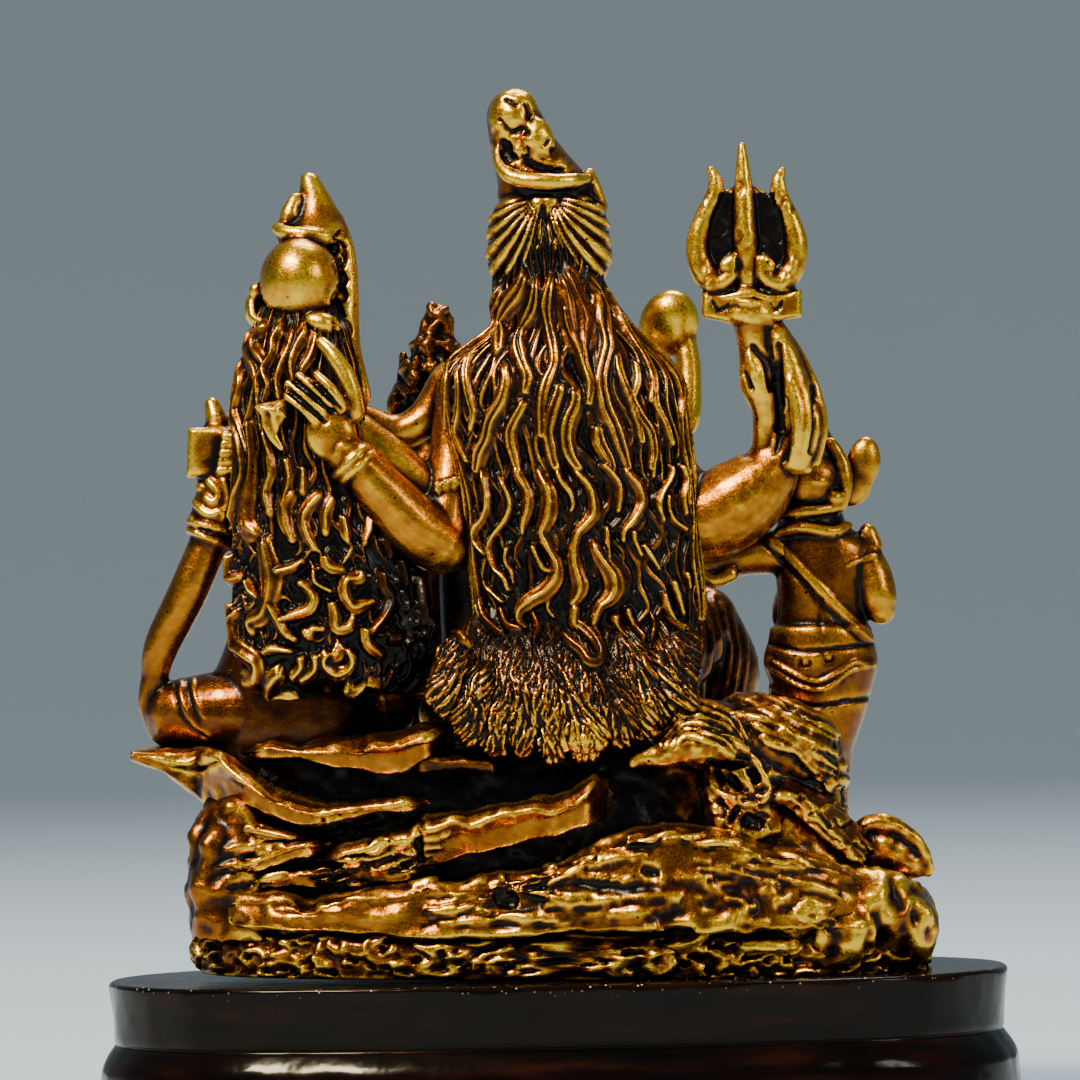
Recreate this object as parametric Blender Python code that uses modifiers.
"""A cast family group of four figures on layered rock, standing on a lacquered oval plinth.

The figures face +Y, so -Y is the back of the group. +X is the right-hand side seen from the back.
The origin is under the middle of the plinth.
"""

import math

import bmesh
import bpy
import numpy as np
from mathutils import Vector, noise

# Driving dimensions in metres.
STATUE_HEIGHT = 0.1410
SEAT_GAP = 0.0003

# The plinth in metres: its border around the rock's foot, then from the top down a hollow fascia,
# a shoulder that swells out and a foot band.
BORDER_ENDS = 0.0125
BORDER_SIDES = 0.0080
FASCIA_HEIGHT = 0.0102
SHOULDER_HEIGHT = 0.0048
FOOT_HEIGHT = 0.0085
FASCIA_HOLLOW = 0.0007
FOOT_FLARE = 0.0016
EDGE_ROUND = 0.0007

# The casting is laid out on a grid with this many steps to its height.
GRID_STEPS = 87.0
GRID = STATUE_HEIGHT / GRID_STEPS
UPRIGHT_TURN = math.radians(1.2)
CLAY_VOXEL = GRID / 2
ROCK_VOXEL = GRID * 0.8
CASTING_TRIANGLES = 8900
CUTTER_DEPTH = 20

# The rock's oval plan in grid steps, and how square the ovals of rock and plinth are. 2 is an ellipse.
ROCK_HALF_LENGTH = 36.9
ROCK_HALF_DEPTH = 20.3
ROCK_SQUARENESS = 3.2
PLINTH_SQUARENESS = 2.5
PLINTH_SIDES = 48
# The plinth's front and back meet its ends in a soft upright edge, this share along from the middle.
ARRIS_SHARE = 0.8
ARRIS_LIFT = 0.07

PLINTH_HEIGHT = FASCIA_HEIGHT + SHOULDER_HEIGHT + FOOT_HEIGHT
PLINTH_HALF_LENGTH = ROCK_HALF_LENGTH * GRID + BORDER_ENDS
PLINTH_HALF_DEPTH = ROCK_HALF_DEPTH * GRID + BORDER_SIDES

GOLD = (0.52, 0.28, 0.045, 1.0)
LACQUER = (0.012, 0.009, 0.008, 1.0)


# Materials and helpers

def principled(name, colour, roughness, metallic):
    """A Principled BSDF material."""
    material = bpy.data.materials.new(name)
    material.use_nodes = True
    shader = material.node_tree.nodes["Principled BSDF"]
    shader.inputs["Base Color"].default_value = colour
    shader.inputs["Roughness"].default_value = roughness
    shader.inputs["Metallic"].default_value = metallic
    return material


def link(obj, collection):
    """Puts a new object in a collection and hands it back."""
    collection.objects.link(obj)
    return obj


def mesh_object(name, points, faces, collection):
    """An object from points in grid steps and their faces."""
    mesh = bpy.data.meshes.new(name)
    mesh.from_pydata([tuple(float(c) * GRID for c in p) for p in points], [], faces)
    return link(bpy.data.objects.new(name, mesh), collection)


def smooth_path(points, per_span=4):
    """Catmull-Rom points through rows of numbers, with per_span steps from one row to the next."""
    rows = np.array(points, float)
    ends = np.vstack([2 * rows[0] - rows[1], rows, 2 * rows[-1] - rows[-2]])
    found = []
    for i in range(len(rows) - 1):
        a, b, c, d = ends[i : i + 4]
        for t in np.arange(per_span) / per_span:
            found.append(
                0.5 * (2 * b + (c - a) * t + (2 * a - 5 * b + 4 * c - d) * t**2
                       + (3 * b - a - 3 * c + d) * t**3)
            )
    return np.array(found + [rows[-1]])


def oval_point(turn, squareness):
    """The point at a turn in radians on an oval of half length 1 each way."""
    c, s = math.cos(turn), math.sin(turn)
    power = 2 / squareness
    return math.copysign(abs(c) ** power, c), math.copysign(abs(s) ** power, s)


def rock_back(x):
    """How far back the rock's oval plan reaches at x. Past its ends it stays at the end's depth."""
    share = min(0.96, abs(x) / ROCK_HALF_LENGTH)
    return -ROCK_HALF_DEPTH * (1 - share**ROCK_SQUARENESS) ** (1 / ROCK_SQUARENESS)


class Clay:
    """Helper shapes, in grid steps, that are pressed together into one lump."""

    def __init__(self, name):
        self.name = name
        self.collection = bpy.data.collections.new(name + "_shapes")
        bpy.context.scene.collection.children.link(self.collection)

    def ball(self, centre, radii, turn=(0, 0, 0), segments=20):
        """An ellipsoid, turned by degrees about X, Y and Z."""
        bpy.ops.mesh.primitive_uv_sphere_add(segments=segments, ring_count=segments // 2 + 2, radius=1)
        obj = bpy.context.object
        obj.location = Vector(centre) * GRID
        obj.scale = Vector(radii) * GRID
        obj.rotation_euler = [math.radians(a) for a in turn]
        for other in obj.users_collection:
            other.objects.unlink(obj)
        return link(obj, self.collection)

    def limb(self, points, flat=1.0, sides=3):
        """A round limb through (x, y, z, radius) rows, with ball ends. flat squeezes it along Y."""
        rows = smooth_path(points)
        curve = bpy.data.curves.new(self.name + "_limb", "CURVE")
        curve.dimensions = "3D"
        curve.bevel_depth = GRID
        curve.bevel_resolution = sides
        curve.use_fill_caps = True
        spline = curve.splines.new("POLY")
        spline.points.add(len(rows) - 1)
        middle = float(rows[:, 1].mean())
        for point, (x, y, z, radius) in zip(spline.points, rows):
            point.co = (x * GRID, (middle + (y - middle) / flat) * GRID, z * GRID, 1)
            point.radius = radius
        obj = link(bpy.data.objects.new(self.name + "_limb", curve), self.collection)
        obj.scale.y = flat
        obj.location.y = middle * (1 - flat) * GRID
        for x, y, z, radius in (rows[0], rows[-1]):
            self.ball((x, y, z), (radius, radius * flat, radius), segments=12)
        return obj

    def loft(self, rings, sides=28, per_span=4, squareness=2.0):
        """A closed body through level ovals, each (x, y, z, half width, half depth)."""
        rows = smooth_path(rings, per_span)
        corners = [oval_point(2 * math.pi * i / sides, squareness) for i in range(sides)]
        points = [(x + wide * c, y + deep * s, z) for x, y, z, wide, deep in rows for c, s in corners]
        faces = []
        for i in range(len(rows) - 1):
            for j in range(sides):
                k = (j + 1) % sides
                faces.append((i * sides + j, i * sides + k, (i + 1) * sides + k, (i + 1) * sides + j))
        last = (len(rows) - 1) * sides
        faces.append(tuple(range(sides))[::-1])
        faces.append(tuple(range(last, last + sides)))
        if rows[0][2] > rows[-1][2]:
            faces = [face[::-1] for face in faces]
        return mesh_object(self.name + "_loft", points, faces, self.collection)

    def ledge(self, rows, stand, reach=12.0):
        """A slab that follows the rock's oval back. rows are (x, lower z, upper z), stand is how far
        the slab's face stands out past the oval, and reach is how deep it goes in."""
        ring = ((0.18, 0.0), (0.0, 0.3), (0.05, 0.72), (0.3, 1.0), (1.0, 1.0), (1.0, 0.0))
        points = []
        for x, low, high in smooth_path(rows, 3):
            face = rock_back(x) - stand
            for inward, up in ring:
                y = face + (reach if inward == 1.0 else inward * (high - low))
                points.append((x, y, low + up * (high - low)))
        n = len(ring)
        count = len(points) // n
        faces = [tuple(range(n))[::-1], tuple(range(len(points) - n, len(points)))]
        for i in range(count - 1):
            for j in range(n):
                k = (j + 1) % n
                faces.append((i * n + j, i * n + k, (i + 1) * n + k, (i + 1) * n + j))
        return mesh_object(self.name + "_ledge", points, faces, self.collection)

    def plate(self, outline, near, far, round_off=0.6):
        """A flat outline of (x, z) corners, standing square to Y from near to far, with rounded edges."""
        curve = bpy.data.curves.new(self.name + "_plate", "CURVE")
        curve.dimensions = "2D"
        curve.fill_mode = "BOTH"
        curve.extrude = ((far - near) / 2 - round_off) * GRID
        curve.bevel_depth = round_off * GRID
        curve.bevel_resolution = 1
        curve.offset = -round_off * GRID
        spline = curve.splines.new("POLY")
        spline.points.add(len(outline) - 1)
        for point, (x, z) in zip(spline.points, outline):
            point.co = (x * GRID, z * GRID, 0, 1)
        spline.use_cyclic_u = True
        obj = link(bpy.data.objects.new(self.name + "_plate", curve), self.collection)
        obj.location.y = (near + far) / 2 * GRID
        obj.rotation_euler.x = math.radians(90)
        return obj

    def press(self, voxel, relief=None):
        """Fuses the shapes into one closed skin, and moves each point out by relief(point) if that is given."""
        graph = bpy.context.evaluated_depsgraph_get()
        merged = bmesh.new()
        for obj in list(self.collection.objects):
            mesh = bpy.data.meshes.new_from_object(obj.evaluated_get(graph))
            mesh.transform(obj.matrix_world)
            merged.from_mesh(mesh)
            bpy.data.meshes.remove(mesh)
            bpy.data.objects.remove(obj)
        bpy.data.collections.remove(self.collection)
        bmesh.ops.remove_doubles(merged, verts=merged.verts, dist=1e-6)
        skin = bpy.data.meshes.new(self.name)
        merged.to_mesh(skin)
        merged.free()
        obj = link(bpy.data.objects.new(self.name, skin), bpy.context.scene.collection)
        remesh = obj.modifiers.new("fuse", "REMESH")
        remesh.mode = "VOXEL"
        remesh.voxel_size = voxel
        soften = obj.modifiers.new("soften", "SMOOTH")
        soften.factor = 0.5
        soften.iterations = 1
        bpy.context.view_layer.update()
        fused = bpy.data.meshes.new_from_object(obj.evaluated_get(bpy.context.evaluated_depsgraph_get()))
        obj.modifiers.clear()
        obj.data = fused
        bpy.data.meshes.remove(skin)
        if relief:
            for vertex, normal in [(vertex, vertex.normal.copy()) for vertex in fused.vertices]:
                vertex.co += normal * relief(vertex.co / GRID) * GRID
        return obj

    def add(self, obj):
        """Takes an object that is already pressed as one more shape."""
        for other in obj.users_collection:
            other.objects.unlink(obj)
        return link(obj, self.collection)


# Hair

def cape_rings(rings):
    """A function that gives the back of a hair cape: its centre x, centre y, half width and half depth at z."""
    rows = np.array(sorted(rings, key=lambda r: r[2]))
    return lambda z: [np.interp(z, rows[:, 2], rows[:, k]) for k in (0, 1, 3, 4)]


def lock_path(cape, top, tip, sway, waves, phase, radius, steps=14):
    """A wavy lock lying on the cape. top and tip are (share across, z), and the share runs from -1 to 1."""
    rows = []
    for t in np.linspace(0, 1, steps):
        z = top[1] + (tip[1] - top[1]) * t
        x0, y0, wide, deep = cape(z)
        across = top[0] + (tip[0] - top[0]) * t
        across += sway / wide * math.sin(2 * math.pi * waves * t + phase) * min(1, 2 * t)
        across = max(-0.97, min(0.97, across))
        thick = radius * (0.55 + 0.75 * math.sin(math.pi * min(1, 0.15 + 0.8 * t)))
        rows.append((x0 + wide * across, y0 - deep * math.sqrt(1 - across**2) - 0.2 * thick, z, thick))
    return rows


def comb(clay, rings, count, top_z, tip_z, sway, waves, radius, spread=0.9):
    """A row of locks side by side over a cape, the phase and the length changing from one to the next."""
    cape = cape_rings(rings)
    for i in range(count):
        share = spread * (2 * (i + 0.5) / count - 1)
        tip = (share, tip_z + 1.5 * math.sin(2.4 * i + 0.7))
        thick = radius * (1 + 0.2 * math.sin(3.1 * i))
        path = lock_path(cape, (0.9 * share, top_z), tip, sway, waves, 1.9 * i, thick)
        clay.limb(path[::2], flat=0.8, sides=1)


CENTRAL_CAPE = [
    (-1.0, -5.0, 71.0, 5.4, 4.0),
    (-1.0, -6.0, 67.0, 5.3, 3.6),
    (0.3, -6.5, 63.5, 6.4, 3.6),
    (0.0, -7.0, 60.0, 10.4, 4.2),
    (0.4, -7.5, 57.0, 11.9, 4.6),
    (1.5, -8.0, 50.0, 11.5, 4.8),
    (2.5, -8.6, 42.0, 11.2, 4.8),
    (3.0, -9.2, 35.0, 11.0, 4.6),
    (3.0, -9.6, 31.0, 9.6, 3.8),
]
LEFT_CAPE = [
    (-25.4, -4.6, 65.5, 4.0, 3.4),
    (-25.4, -5.6, 62.0, 4.9, 3.8),
    (-25.5, -6.4, 57.0, 6.0, 4.2),
    (-25.2, -6.9, 50.0, 6.6, 4.4),
    (-23.6, -7.6, 42.0, 8.4, 4.6),
    (-22.0, -8.2, 34.0, 9.6, 4.6),
    (-21.9, -8.8, 30.0, 8.8, 3.4),
    (-22.0, -8.6, 27.6, 7.0, 1.6),
]


# Figures

def central_figure(clay):
    """The seated central figure: torso, head with combed lobes, topknot, long hair, legs and a raised knee."""
    clay.loft([
        (2.5, -1.0, 20.0, 9.0, 8.0), (2.5, -2.0, 26.0, 9.0, 7.0), (2.0, -3.0, 34.0, 7.2, 5.0),
        (1.5, -3.0, 44.0, 8.6, 5.2), (1.0, -3.5, 53.0, 10.4, 5.0), (0.4, -3.5, 58.0, 9.0, 4.0),
        (0.0, -3.0, 61.0, 4.2, 3.5), (-0.6, -2.4, 66.0, 3.4, 3.4),
    ])
    clay.ball((-0.8, -1.6, 70.6), (5.3, 5.8, 6.9))
    clay.loft(CENTRAL_CAPE)
    comb(clay, CENTRAL_CAPE, 9, 66.0, 32.5, 0.8, 2.6, 1.0)
    comb(clay, CENTRAL_CAPE, 4, 60.0, 34.0, 1.0, 2.0, 1.25, spread=0.6)
    for x, lean, wide in ((-4.2, -8, 2.9), (2.3, 8, 3.1)):
        clay.ball((x, -5.4, 73.3), (wide, 3.8, 4.3), (0, lean, 0))
    clay.loft([
        (-1.1, -3.6, 76.4, 5.1, 4.2), (-1.3, -3.8, 78.0, 4.8, 4.2), (-2.7, -4.2, 80.3, 3.8, 3.4),
        (-4.0, -4.4, 82.8, 3.1, 2.7), (-4.6, -4.4, 85.3, 2.5, 2.2), (-4.8, -4.4, 86.8, 1.2, 1.2),
    ])
    clay.ball((-4.7, -5.2, 84.4), (2.5, 2.2, 2.9), (0, 12, 0))
    clay.ball((-1.9, -6.3, 82.2), (1.6, 1.5, 2.2), (0, -20, 0))
    clay.limb([
        (-6.0, -6.4, 80.6, 0.5), (-5.3, -7.6, 78.9, 0.7), (-3.0, -8.3, 78.1, 0.8),
        (0.4, -8.2, 78.1, 0.8), (3.2, -6.6, 78.6, 0.55),
    ])
    clay.limb([(-7.0, -3.4, 50.0, 3.2), (-8.4, -4.0, 42.0, 3.4), (-8.0, -4.0, 31.0, 3.6)])
    clay.ball((-0.8, 3.9, 70.2), (1.0, 1.2, 1.8))
    clay.limb([(4.5, 1.0, 25.0, 4.8), (11.0, 5.0, 31.0, 4.4), (14.5, 9.0, 34.6, 3.8)])
    clay.limb([(14.5, 9.0, 34.4, 3.8), (17.0, 11.0, 29.0, 3.4), (15.0, 14.0, 22.0, 2.4)])
    clay.limb([(-0.5, 1.0, 25.0, 4.8), (-6.0, 7.0, 26.0, 4.4), (-10.5, 11.5, 25.6, 3.8)])
    clay.limb([(-10.5, 11.5, 25.0, 3.4), (-3.0, 15.0, 24.0, 2.9), (4.5, 15.5, 22.6, 2.0)])
    clay.ball((14.0, 16.6, 20.6), (1.8, 3.2, 1.4), (0, 0, 15))
    clay.ball((6.4, 15.8, 22.2), (3.0, 1.6, 1.4), (0, 0, -10))


def cobra(clay):
    """The hooded snake that rises by the central figure's shoulder."""
    clay.ball((11.0, 3.2, 64.4), (3.0, 2.2, 3.6), (18, 20, 0))
    clay.limb([
        (12.4, 3.2, 63.6, 1.3), (13.0, 2.0, 59.0, 1.3), (12.2, 0.8, 54.0, 1.4), (7.0, 1.8, 55.5, 1.3),
        (0.6, 2.6, 57.0, 1.3), (-6.0, 1.0, 58.0, 1.2),
    ])


def resting_arm(clay):
    """The central figure's arm laid along the left figure's shoulder, its hand spread over her hair."""
    clay.limb([(-9.6, -4.0, 57.2, 2.7), (-10.4, -6.0, 50.0, 2.6), (-11.4, -8.2, 43.2, 2.8)])
    clay.limb([
        (-11.6, -8.6, 42.2, 2.8), (-14.4, -9.8, 44.2, 2.9), (-17.4, -10.8, 47.3, 2.6),
        (-20.4, -11.4, 50.4, 1.9),
    ])
    clay.ball((-22.4, -11.9, 52.8), (2.2, 1.2, 2.9), (0, -40, 0))
    fingers = (
        ((-24.2, 53.4), (-26.5, 56.1)), ((-23.4, 54.7), (-26.2, 57.5)),
        ((-22.4, 55.3), (-25.4, 58.4)), ((-21.2, 55.5), (-23.8, 58.6)),
    )
    for (x0, z0), (x1, z1) in fingers:
        knuckle = ((x0 + x1) / 2, -12.4, (z0 + z1) / 2 + 0.2, 0.66)
        clay.limb([(x0, -12.2, z0, 0.72), knuckle, (x1, -11.6, z1, 0.5)])
    clay.limb([(-19.6, -11.4, 55.8, 0.95), (-21.4, -11.0, 59.2, 0.8), (-23.2, -10.4, 61.8, 0.6)])
    clay.limb([
        (-10.8, -2.6, 58.4, 2.1), (-13.2, -3.0, 54.6, 1.9), (-16.2, -3.2, 53.4, 1.8),
        (-20.0, -3.6, 54.8, 1.7),
    ])
    clay.limb([(-20.0, -6.5, 53.6, 1.9), (-16.0, -6.8, 50.4, 2.0), (-11.5, -6.6, 46.0, 2.2)])


def raised_arm(clay):
    """The central figure's other arm, bent up to the grip under the trident's head."""
    clay.limb([
        (8.0, -4.0, 51.0, 4.0), (13.4, -5.6, 44.9, 4.2), (18.0, -6.4, 46.8, 4.2),
        (21.4, -7.0, 50.0, 3.4),
    ])
    clay.limb([
        (19.0, -7.8, 63.4, 1.3), (21.4, -8.4, 58.5, 1.9), (23.4, -8.8, 54.0, 2.3),
        (23.4, -8.8, 51.2, 2.0),
    ])
    clay.limb([
        (18.3, -7.6, 63.6, 1.5), (19.0, -7.8, 59.8, 1.6), (19.8, -7.8, 56.5, 1.5),
        (20.6, -7.6, 52.0, 1.3),
    ])


def trident(clay):
    """Three prongs on a webbed plate over a square cross-piece."""
    y = -7.6
    clay.ball((18.6, y, 64.4), (2.2, 1.7, 1.6))
    cross_piece = [(14.0, 65.0), (17.4, 64.2), (20.0, 64.4), (23.8, 64.8), (23.8, 67.6), (14.2, 67.8)]
    web = [(14.3, 69.6), (18.4, 67.0), (22.8, 69.6), (22.6, 75.0), (21.4, 78.4), (15.4, 78.6), (14.1, 74.5)]
    clay.plate(cross_piece, y - 1.5, y + 1.2, 0.4)
    clay.plate(web, y - 0.4, y + 1.0, 0.3)
    clay.limb([(18.5, y, 67.0, 1.2), (18.3, y - 0.3, 73.0, 1.2), (18.1, y, 78.5, 0.9), (18.0, y, 81.6, 0.45)])
    for side in (-1, 1):
        clay.limb([
            (18.5 + side * 0.9, y - 0.6, 70.4, 0.8), (18.5 + side * 2.9, y - 0.3, 69.2, 1.05),
            (18.5 + side * 4.7, y, 71.6, 1.1), (18.5 + side * 4.7, y, 74.6, 1.0),
            (18.5 + side * 3.4, y, 77.6, 0.8), (18.5 + side * 3.2, y, 79.6, 0.5),
        ])


def left_figure(clay):
    """The seated crowned figure on the left, with her bun, crown, curls, sleeve and folded leg."""
    clay.loft([
        (-26.0, -1.0, 20.5, 9.4, 8.0), (-26.0, -2.0, 27.0, 9.0, 7.0), (-26.5, -3.0, 36.0, 5.6, 4.2),
        (-26.8, -3.2, 46.0, 6.6, 4.4), (-26.8, -3.5, 53.0, 7.4, 3.8), (-26.0, -3.0, 57.5, 3.2, 3.0),
        (-25.4, -2.4, 62.0, 2.6, 2.6),
    ])
    clay.ball((-25.2, -1.0, 66.5), (4.4, 4.8, 5.8))
    clay.ball((-25.5, -4.8, 68.7), (3.9, 3.9, 3.9))
    clay.loft([
        (-24.7, -2.5, 72.0, 3.3, 3.2), (-24.5, -2.7, 73.4, 3.6, 3.4), (-24.2, -2.6, 75.0, 2.5, 2.4),
        (-24.5, -2.5, 77.0, 1.6, 1.6), (-24.8, -2.5, 79.0, 0.8, 0.8),
    ])
    clay.limb([(-27.7, -4.4, 73.6, 0.7), (-25.4, -5.8, 72.9, 0.8), (-22.2, -5.0, 72.4, 0.7)])
    clay.ball((-27.0, -3.4, 74.8), (0.9, 1.2, 1.6))
    clay.limb([
        (-21.4, -2.6, 74.0, 1.0), (-20.9, -3.0, 68.0, 1.2), (-20.8, -4.2, 62.0, 1.3),
        (-19.6, -4.8, 57.0, 1.3),
    ])
    clay.ball((-30.2, -3.0, 65.8), (1.0, 1.1, 1.8))
    clay.loft(LEFT_CAPE)
    comb(clay, LEFT_CAPE, 7, 64.0, 40.0, 0.5, 1.8, 0.9)
    comb(clay, LEFT_CAPE, 8, 45.0, 28.4, 1.2, 2.4, 0.95)
    clay.ball((-25.2, 3.6, 66.0), (0.8, 0.9, 1.4))
    clay.limb([(-33.0, -4.4, 49.6, 2.2), (-33.8, -4.8, 45.4, 2.5), (-34.2, -5.0, 43.0, 2.1)])
    clay.limb([
        (-34.2, -5.0, 43.4, 1.9), (-36.6, -5.0, 37.6, 2.0), (-39.2, -4.0, 32.4, 1.8),
        (-40.0, -3.2, 29.4, 1.4),
    ])
    clay.limb([(-40.0, -3.2, 29.0, 1.4), (-40.4, -2.8, 26.6, 1.3), (-40.2, -2.6, 24.6, 0.9)])
    clay.plate([(-36.8, 48.8), (-32.0, 49.4), (-32.0, 53.6), (-33.6, 54.0), (-36.6, 53.8)], -6.4, -3.4, 0.5)
    clay.ball((-33.9, -4.4, 55.0), (0.9, 1.0, 1.6))
    clay.limb([(-25.0, -3.0, 25.2, 4.8), (-32.0, -3.6, 25.6, 4.4), (-37.6, -2.8, 25.6, 3.4)])
    clay.limb([(-38.0, -2.0, 25.0, 3.2), (-33.0, 8.0, 24.4, 3.0), (-24.0, 12.0, 23.0, 2.4)])
    clay.limb([(-22.0, 2.0, 26.0, 4.4), (-18.0, 9.0, 26.0, 3.8), (-25.0, 14.0, 23.4, 2.6)])


def right_figure(clay):
    """The standing elephant-headed figure on the right, with a waist cloth and one arm bent."""
    for x, z in ((23.4, 14.0), (28.0, 14.0)):
        clay.limb([(x - 0.3, -2.6, 28.0, 3.0), (x, -2.6, 21.0, 2.4), (x, -2.4, z, 2.0)])
        clay.ball((x + 0.3, 0.2, z), (1.6, 3.0, 1.3))
    clay.loft([
        (25.8, -2.8, 22.0, 4.4, 3.6), (26.0, -2.8, 26.8, 5.0, 4.0), (26.0, -2.8, 30.3, 5.6, 4.3),
        (26.2, -2.8, 33.0, 5.0, 3.8), (25.8, -2.8, 35.0, 4.6, 3.5), (25.6, -2.8, 39.0, 4.8, 3.6),
        (26.0, -2.8, 41.8, 5.3, 3.3), (25.2, -2.6, 44.2, 3.6, 3.0), (25.0, -2.4, 46.0, 3.0, 2.8),
    ])
    clay.ball((26.0, -0.2, 35.6), (4.8, 4.6, 4.8))
    clay.ball((25.0, -1.8, 48.6), (3.9, 4.0, 4.0))
    clay.loft([(24.6, -2.0, 51.0, 3.2, 3.0), (24.2, -2.0, 53.4, 2.5, 2.3), (23.4, -2.0, 56.0, 1.1, 1.1)])
    clay.ball((30.1, -2.4, 49.8), (1.9, 1.0, 3.1), (0, 12, 0))
    clay.ball((20.4, -1.6, 49.2), (1.9, 1.0, 3.0), (0, -12, 0))
    clay.limb([(25.0, 1.6, 49.0, 1.7), (25.2, 4.2, 45.4, 1.4), (26.0, 5.2, 41.4, 1.1), (27.6, 5.0, 39.0, 0.9)])
    clay.limb([(29.8, -3.0, 41.8, 1.8), (31.4, -3.8, 38.6, 1.9), (31.9, -4.0, 36.4, 1.8)])
    clay.limb([(31.8, -3.8, 36.4, 1.6), (31.2, 0.0, 37.4, 1.4), (29.8, 3.6, 39.0, 1.3)])
    clay.limb([(21.6, -3.0, 41.6, 2.2), (18.0, -3.6, 41.4, 2.1), (13.0, -4.4, 40.2, 2.2)])


def child_figure(clay):
    """The small crowned child seated in front, between the two large figures."""
    clay.loft([
        (-13.0, 9.0, 27.0, 5.0, 4.0), (-13.0, 9.0, 34.0, 3.8, 3.2), (-13.0, 8.6, 44.0, 4.4, 3.2),
        (-13.0, 8.2, 50.0, 4.6, 2.8), (-12.8, 8.2, 52.6, 1.8, 1.8),
    ])
    clay.ball((-12.8, 8.6, 55.8), (3.2, 3.3, 3.7))
    clay.loft([
        (-12.8, 8.0, 57.4, 4.4, 3.2), (-12.6, 8.0, 59.4, 3.7, 3.0), (-12.4, 8.0, 62.6, 2.6, 2.2),
        (-12.2, 8.0, 65.4, 1.4, 1.2), (-12.2, 8.0, 66.6, 0.7, 0.7),
    ])
    clay.ball((-12.8, 12.0, 55.6), (0.6, 0.7, 1.0))
    for side in (-1, 1):
        clay.ball((-12.8 + side * 3.6, 8.0, 56.4), (0.9, 0.9, 1.6))
        clay.limb([
            (-13.0 + side * 4.0, 8.4, 48.6, 1.5), (-13.0 + side * 5.0, 9.4, 43.0, 1.4),
            (-13.0 + side * 3.0, 12.4, 40.0, 1.2),
        ])
        clay.limb([
            (-13.0 + side * 2.4, 10.0, 32.0, 2.2), (-13.0 + side * 3.4, 14.0, 30.0, 2.0),
            (-13.0 + side * 1.4, 15.0, 24.0, 1.5),
        ])


# Rock and skin

def rock(clay):
    """A stepped core, a band of stones at its foot, split ledges along the back and a stump on the right."""
    clay.loft([(0.4, 0.0, -2.0, 35.6, 19.4), (0.4, 0.0, 3.2, 35.8, 19.6), (0.4, 0.0, 4.6, 33.6, 17.6)],
              sides=40, per_span=2, squareness=ROCK_SQUARENESS)
    clay.loft([(-7.2, 0.6, 2.0, 27.4, 15.4), (-7.4, 0.8, 12.0, 27.2, 14.4), (-7.4, 1.0, 21.0, 25.6, 13.4),
               (-7.0, 1.2, 23.4, 22.0, 11.6)], sides=36, squareness=ROCK_SQUARENESS)
    clay.loft([(14.6, 0.4, 2.0, 21.6, 15.6), (14.2, 0.6, 8.6, 20.6, 14.6), (13.4, 1.0, 12.6, 17.8, 12.6)],
              sides=36, squareness=ROCK_SQUARENESS)
    for i in range(17):
        x = -33.6 + 4.2 * i
        tall = 2.4 + 0.6 * math.sin(2.3 * i)
        clay.ball((x, rock_back(x) + 1.6, 1.8 + 0.4 * math.sin(1.7 * i)), (2.9, 2.2, tall), segments=12)
    clay.ledge([(-34.4, 4.6, 8.0), (-23.6, 4.4, 8.3), (-17.2, 4.4, 9.6), (-8.0, 4.6, 10.4), (3.6, 4.6, 12.6),
                (14.6, 4.6, 14.6), (26.0, 4.6, 12.0), (33.0, 4.4, 8.4)], 0.2)
    clay.ledge([(-34.8, 8.8, 14.6), (-30.0, 9.4, 15.0), (-24.0, 9.8, 13.6), (-20.0, 10.0, 12.4)], -2.4, 9.0)
    clay.ledge([(-21.3, 11.8, 12.6), (-13.6, 10.8, 15.8), (-4.0, 13.4, 17.3), (5.0, 15.6, 19.4)], -0.6)
    clay.ledge([(-42.0, 20.6, 21.9), (-37.4, 18.8, 22.2), (-32.0, 16.8, 21.6), (-27.4, 15.8, 18.9),
                (-22.3, 15.0, 17.0), (-13.4, 16.8, 17.7)], -0.8, 10.0)
    clay.ledge([(-30.7, 21.6, 22.4), (-25.4, 20.8, 22.9), (-18.0, 20.2, 23.7), (-10.6, 23.2, 25.0)], -2.2)
    clay.ledge([(-7.0, 17.6, 21.4), (0.0, 19.0, 22.6), (6.0, 20.0, 23.0)], -4.0, 9.0)
    clay.limb([(8.0, -16.4, 21.4, 1.6), (12.4, -17.4, 21.6, 2.0), (15.6, -17.8, 20.4, 2.0), (17.4, -17.6, 16.4, 2.4),
               (18.6, -17.4, 12.0, 3.0)])
    clay.limb([(21.4, -16.4, 20.6, 1.8), (22.4, -16.6, 16.0, 2.2), (22.0, -16.2, 11.0, 3.0)])
    clay.loft([(19.4, -9.4, 10.0, 7.6, 7.4), (19.6, -9.0, 18.0, 6.6, 6.6), (20.4, -8.0, 24.2, 6.6, 6.4),
               (20.8, -7.6, 27.2, 4.4, 4.6)], squareness=2.6)
    clay.ball((16.4, -12.8, 23.6), (5.4, 4.6, 3.2), (0, 14, 0))
    clay.ball((25.8, -9.0, 20.2), (2.6, 3.4, 2.2))
    clay.ball((27.0, -9.4, 17.0), (2.4, 3.0, 2.0))
    for x, z, r in ((28.0, 8.0, 3.0), (31.4, 6.0, 2.8), (34.6, 5.0, 2.4), (24.4, 7.4, 2.8)):
        clay.ball((x, rock_back(x) + 2.2, z), (r * 1.2, r, r))
    clay.limb([
        (29.6, -6.5, 12.6, 2.4), (32.4, -8.0, 12.4, 2.6), (34.8, -8.6, 11.0, 1.7),
        (36.2, -8.8, 10.4, 0.8),
    ])
    clay.limb([(29.0, -5.0, 13.4, 0.9), (27.4, -2.0, 14.6, 0.7), (28.6, 2.0, 14.4, 0.6)])


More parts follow.
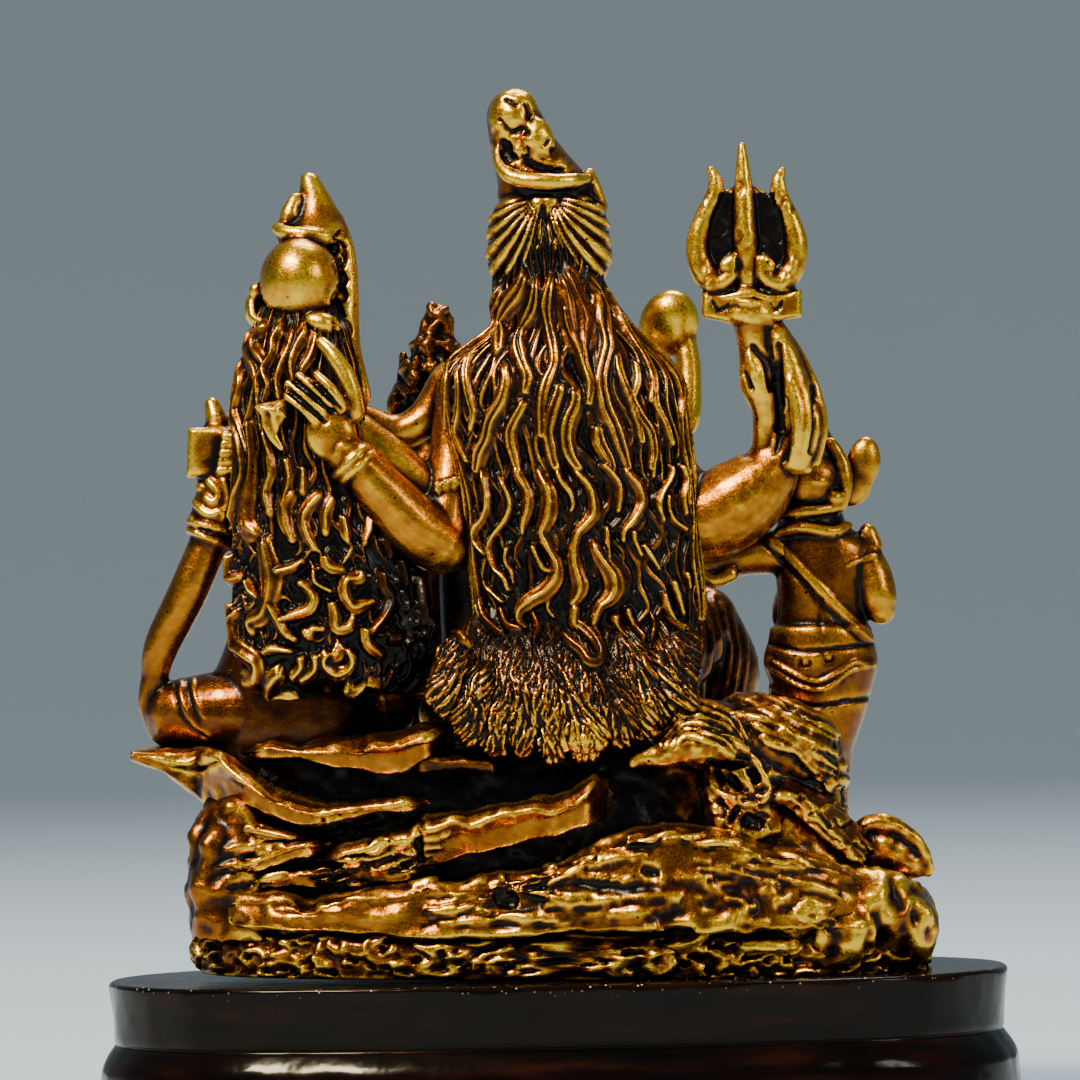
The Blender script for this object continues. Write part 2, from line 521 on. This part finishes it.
def rock_relief(point):
    """How far the rock's surface stands out at a point, in grid steps: beds of rough stone."""
    beds = Vector((point.x * 0.16, point.y * 0.16, point.z * 0.55))
    grit = Vector((point.x * 0.45, point.y * 0.45, point.z * 0.8))
    return 0.55 * noise.noise(beds) + 0.35 * noise.noise(grit + Vector((7, 3, 1)))


def skin(clay):
    """The animal skin under the central figure, hanging ragged over the back of the seat."""
    clay.loft([
        (2.6, -8.0, 34.0, 11.2, 6.0), (1.6, -8.6, 31.0, 12.6, 7.6), (0.6, -9.0, 28.0, 13.2, 8.6),
        (1.0, -9.2, 25.0, 12.4, 8.8), (1.6, -9.0, 23.4, 11.0, 8.2),
    ], sides=36)
    tufts = ((-11.2, 26.4, 1.8), (-8.6, 23.8, 2.0), (-6.2, 22.4, 1.9), (-3.4, 22.6, 1.8), (-0.6, 22.0, 2.0),
             (2.4, 22.2, 2.6), (6.2, 23.6, 2.0), (9.0, 24.6, 2.0), (12.0, 26.2, 1.9))
    for x, z, radius in tufts:
        root, bend = (x * 0.9, -15.6, z + 5.0, radius), (x, -16.6, z + 1.4, radius * 0.9)
        clay.limb([root, bend, (x, -16.4, z, radius * 0.5)], flat=0.7)


def casting():
    """The whole group as one closed lump, cut flat on the plinth's top."""
    stone = Clay("stone")
    rock(stone)
    stone_skin = stone.press(ROCK_VOXEL, rock_relief)
    clay = Clay("statue")
    clay.add(stone_skin)
    figures = (central_figure, cobra, resting_arm, raised_arm, trident, left_figure, right_figure, child_figure)
    for shape in (skin, *figures):
        shape(clay)
    statue = clay.press(CLAY_VOXEL)
    statue.rotation_euler.y = UPRIGHT_TURN
    statue.location.z = PLINTH_HEIGHT + SEAT_GAP
    thin = statue.modifiers.new("thin out", "DECIMATE")
    statue.data.calc_loop_triangles()
    thin.ratio = CASTING_TRIANGLES / len(statue.data.loop_triangles)
    return statue


def foot_cutter(statue, collection):
    """A block that takes off everything of the casting below the plinth's top."""
    depth = CUTTER_DEPTH * GRID
    bpy.ops.mesh.primitive_cube_add(size=1, location=(0, 0, PLINTH_HEIGHT + SEAT_GAP - depth / 2))
    block = bpy.context.object
    block.name = "foot_cutter"
    block.scale = (2 * STATUE_HEIGHT, 2 * STATUE_HEIGHT, depth)
    block.hide_render = True
    block.display_type = "WIRE"
    for other in block.users_collection:
        other.objects.unlink(block)
    collection.objects.link(block)
    cut = statue.modifiers.new("flat foot", "BOOLEAN")
    cut.operation = "DIFFERENCE"
    cut.object = block


# Plinth

def plinth_profile():
    """(inset, z) pairs from the top edge down to the underside: fascia, shoulder, foot band."""
    waist = PLINTH_HEIGHT - FASCIA_HEIGHT
    turns = np.radians((0, 45, 90))
    rows = [(EDGE_ROUND * (1 - math.sin(a)), PLINTH_HEIGHT - EDGE_ROUND * (1 - math.cos(a))) for a in turns]
    rows.append((FASCIA_HOLLOW * 0.7, (PLINTH_HEIGHT + waist) / 2))
    swell = FASCIA_HOLLOW + FOOT_FLARE
    for t in (0.0, 0.33, 0.67, 1.0):
        rows.append((FASCIA_HOLLOW - swell * math.sin(t * math.pi / 2), waist - SHOULDER_HEIGHT * t))
    rows.append((-FOOT_FLARE, EDGE_ROUND))
    rows.append((EDGE_ROUND - FOOT_FLARE, 0.0))
    return rows


def plinth_ring(inset, z):
    """A ring of points on the plinth's plan, brought in by inset. The front and back are long bows that
    stand out a little where they meet the ends."""
    ring = []
    for i in range(PLINTH_SIDES):
        c, s = oval_point(2 * math.pi * (i + 0.5) / PLINTH_SIDES, PLINTH_SQUARENESS)
        out = 1 + ARRIS_LIFT * max(0, 1 - abs(abs(c) - ARRIS_SHARE) / (1 - ARRIS_SHARE)) * abs(s)
        ring.append((c * (PLINTH_HALF_LENGTH - inset), s * out * (PLINTH_HALF_DEPTH - inset), z))
    return ring


def plinth(collection):
    """The plinth, lofted through its oval rings from the top edge to the underside."""
    rings = [plinth_ring(inset, z) for inset, z in plinth_profile()]
    points = [p for ring in rings for p in ring]
    n = PLINTH_SIDES
    faces = [tuple(range(n)), tuple(range(len(points) - n, len(points)))[::-1]]
    for i in range(len(rings) - 1):
        for j in range(n):
            k = (j + 1) % n
            faces.append((i * n + j, (i + 1) * n + j, (i + 1) * n + k, i * n + k))
    mesh = bpy.data.meshes.new("plinth")
    mesh.from_pydata(points, [], faces)
    mesh.shade_smooth()
    mesh.set_sharp_from_angle(angle=math.radians(40))
    obj = link(bpy.data.objects.new("plinth", mesh), collection)
    mesh.materials.append(principled("black_lacquer", LACQUER, 0.18, 0.0))
    return obj


def main():
    for obj in list(bpy.data.objects):
        bpy.data.objects.remove(obj)
    group = bpy.data.collections.new("family_group_statue")
    cutters = bpy.data.collections.new("cutters")
    for collection in (group, cutters):
        bpy.context.scene.collection.children.link(collection)
    plinth(group)
    statue = casting()
    foot_cutter(statue, cutters)
    for other in statue.users_collection:
        other.objects.unlink(statue)
    group.objects.link(statue)
    statue.data.materials.clear()
    statue.data.materials.append(principled("antique_gold_resin", GOLD, 0.34, 0.85))


main()
